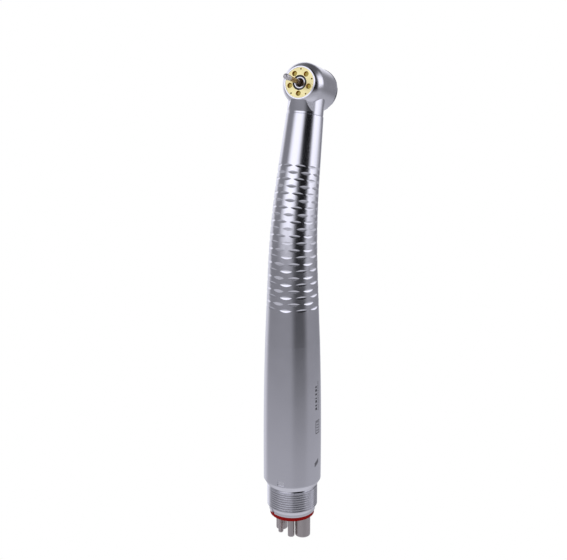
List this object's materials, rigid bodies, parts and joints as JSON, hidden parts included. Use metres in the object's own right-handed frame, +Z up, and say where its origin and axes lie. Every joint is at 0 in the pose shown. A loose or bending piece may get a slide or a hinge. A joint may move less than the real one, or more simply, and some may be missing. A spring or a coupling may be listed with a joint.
{
  "type": "high speed handpiece",
  "caption": "Slim bent dental air turbine handpiece with dimpled grip, lit head, push-button chuck and bur, threaded hose end with tubes.",
  "frame": {"origin": "centre of the hose gasket's outer face, on the handle's axis", "axes": "+Z up the straight rear of the handle towards the head; the handle bends towards +Y; the head's face and bur point to -Y; X = 0 is the mirror plane of everything but the tubes"},
  "size_m": [0.016, 0.0249, 0.1309],
  "materials": {
    "satin_chrome": "satin",
    "polished_chrome": "polished",
    "stainless_tube": "drawn, satin",
    "spring_steel": "drawn",
    "cover_plate": "smooth, pale yellow",
    "circuit_board": "solder mask",
    "light_phosphor": "phosphor gel",
    "black_plastic": "moulded",
    "bearing_steel": "ground",
    "ceramic_ball": "polished ceramic",
    "cage_resin": "moulded",
    "black_rubber": "moulded",
    "light_alloy": "machined",
    "bur_steel": "ground",
    "gasket_rubber": "moulded dark red",
    "brass": "machined",
    "generator_case": "turned",
    "copper_winding": "enamelled copper",
    "magnet": "nickel plated",
    "wire_insulation": "extruded"
  },
  "bodies": {
    "handpiece": {"head_housing": "satin_chrome", "head_cap": "satin_chrome", "front_sleeve": "satin_chrome", "rear_sleeve": "satin_chrome", "tail_connector": "polished_chrome", "exhaust_nipple": "stainless_tube", "drive_air_nipple": "stainless_tube", "water_nipple": "stainless_tube", "chip_air_nipple": "stainless_tube", "drive_air_line": "stainless_tube", "water_line": "stainless_tube", "chip_air_line": "stainless_tube", "button_spring": "spring_steel", "preload_washer": "spring_steel", "led_cover_plate": "cover_plate", "led_board": "circuit_board", "rectifier_board": "circuit_board", "led_chips": "light_phosphor", "nose_seal_ring": "black_plastic", "rectifier_parts": "black_plastic", "front_bearing_outer_race": "bearing_steel", "rear_bearing_outer_race": "bearing_steel", "manifold_screws": "bearing_steel", "front_bearing_o_ring": "black_rubber", "rear_bearing_o_ring": "black_rubber", "neck_o_ring": "black_rubber", "seam_o_ring": "black_rubber", "tail_o_ring": "black_rubber", "hose_gasket": "gasket_rubber", "manifold_plate": "brass", "generator_bushes": "brass", "generator_cap": "brass", "generator_housing": "generator_case", "generator_stator": "copper_winding", "led_wires": "wire_insulation"},
    "turbine": {"turbine_spindle": "bearing_steel", "turbine_impeller": "light_alloy", "front_bearing_inner_race": "bearing_steel", "rear_bearing_inner_race": "bearing_steel", "chuck_collet": "bearing_steel"},
    "front_ball_set": {"front_bearing_balls": "ceramic_ball", "front_bearing_cage": "cage_resin"},
    "rear_ball_set": {"rear_bearing_balls": "ceramic_ball", "rear_bearing_cage": "cage_resin"},
    "release_pin": {"chuck_release_pin": "bearing_steel"},
    "bur": {"bur": "bur_steel"},
    "button": {"push_button": "polished_chrome"},
    "generator_rotor": {"generator_shaft": "bearing_steel", "generator_magnet": "magnet", "generator_impeller": "light_alloy"}
  },
  "joints": [
    {"name": "turbine_spin", "type": "hinge", "parent": "handpiece", "child": "turbine", "pos_m": [0, 0.00918, 0.11816], "axis": [0, -0.9688, 0.2477], "continuous": true},
    {"name": "front_ball_spin", "type": "hinge", "parent": "handpiece", "child": "front_ball_set", "pos_m": [0, 0.00918, 0.11816], "axis": [0, -0.9688, 0.2477], "continuous": true},
    {"name": "rear_ball_spin", "type": "hinge", "parent": "handpiece", "child": "rear_ball_set", "pos_m": [0, 0.00918, 0.11816], "axis": [0, -0.9688, 0.2477], "continuous": true},
    {"name": "bur_pull", "type": "slide", "parent": "turbine", "child": "bur", "axis": [0, -0.9688, 0.2477], "range_m": [0, 0.012]},
    {"name": "chuck_release", "type": "slide", "parent": "turbine", "child": "release_pin", "axis": [0, -0.9688, 0.2477], "range_m": [0, 0.00022]},
    {"name": "button_press", "type": "slide", "parent": "handpiece", "child": "button", "axis": [0, -0.9688, 0.2477], "range_m": [0, 0.00055], "stiffness_N_per_m": 8000, "deforming": ["button_spring"]},
    {"name": "generator_spin", "type": "hinge", "parent": "handpiece", "child": "generator_rotor", "pos_m": [0, 0.00255, 0.03], "axis": [0, 0, 1], "continuous": true}
  ],
  "couplings": [
    {"joint": "front_ball_spin", "follows": "turbine_spin", "ratio": 0.395},
    {"joint": "rear_ball_spin", "follows": "turbine_spin", "ratio": 0.395},
    {"joint": "chuck_release", "follows": "button_press", "ratio": 0.4}
  ]
}
